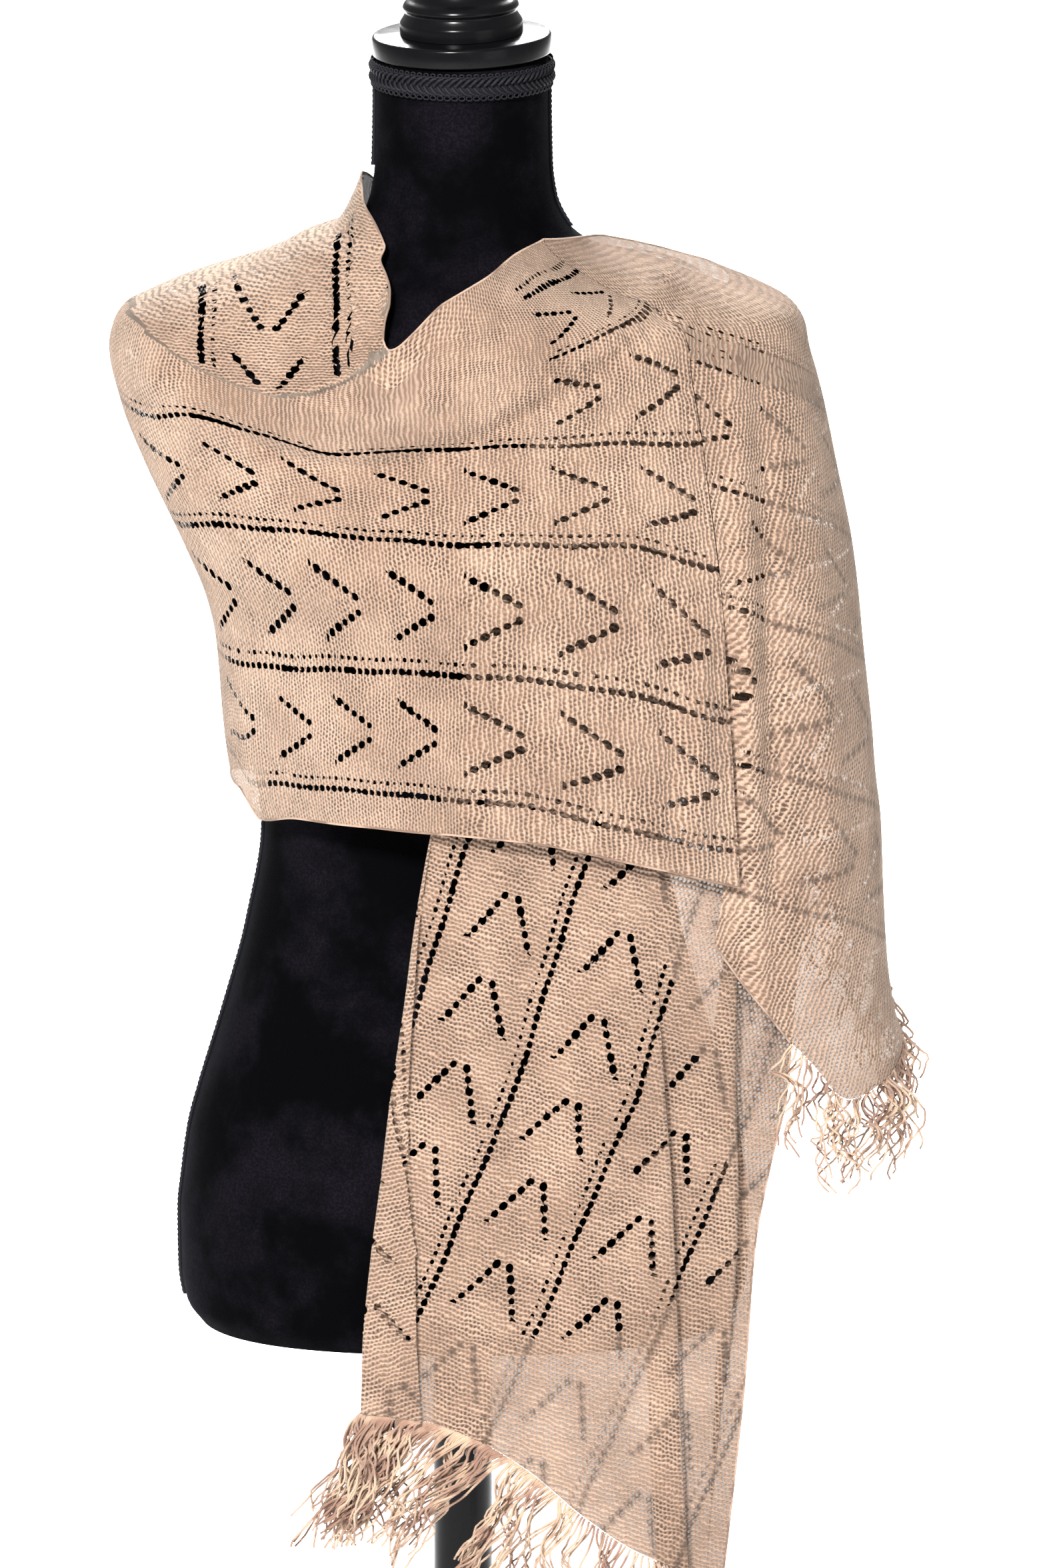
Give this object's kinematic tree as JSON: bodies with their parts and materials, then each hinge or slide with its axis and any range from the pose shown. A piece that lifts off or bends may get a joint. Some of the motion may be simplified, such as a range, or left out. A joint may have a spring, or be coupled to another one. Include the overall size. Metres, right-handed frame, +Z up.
{
  "type": "lace stole on dress form",
  "caption": "Knitted lace stole wrapped round a limbless black dress form: fringed ends at the front and left side, on a turned pole stand.",
  "frame": {"origin": "underside of the base, on the pole's axis", "axes": "+Z up the pole, -Y the way the form faces, +X the form's own left, where the side end of the stole hangs"},
  "size_m": [0.4783, 0.33, 1.5725],
  "materials": {
    "linen_yarn": "soft beige knitted lace with a faint halo of loose fibres",
    "fringe_yarn": "straw-coloured crinkled strands",
    "black_velvet": "black velvet with a grey-blue sheen",
    "black_gimp": "black woven gimp braid",
    "black_turned_wood": "gloss black lacquer"
  },
  "bodies": {
    "root": {"form_base": "black_turned_wood", "form_finial": "black_turned_wood", "form_neck_braid": "black_gimp", "form_neck_cap": "black_turned_wood", "form_neck_piping_left": "black_velvet", "form_neck_piping_right": "black_velvet", "form_piping_left": "black_velvet", "form_piping_right": "black_velvet", "form_pole": "black_turned_wood", "form_torso": "black_velvet", "fringe_front": "fringe_yarn", "fringe_side": "fringe_yarn", "stole_back": "linen_yarn", "stole_chest": "linen_yarn", "stole_front_fall": "linen_yarn", "stole_left_wing": "linen_yarn", "stole_right_shoulder": "linen_yarn"}
  },
  "joints": []
}
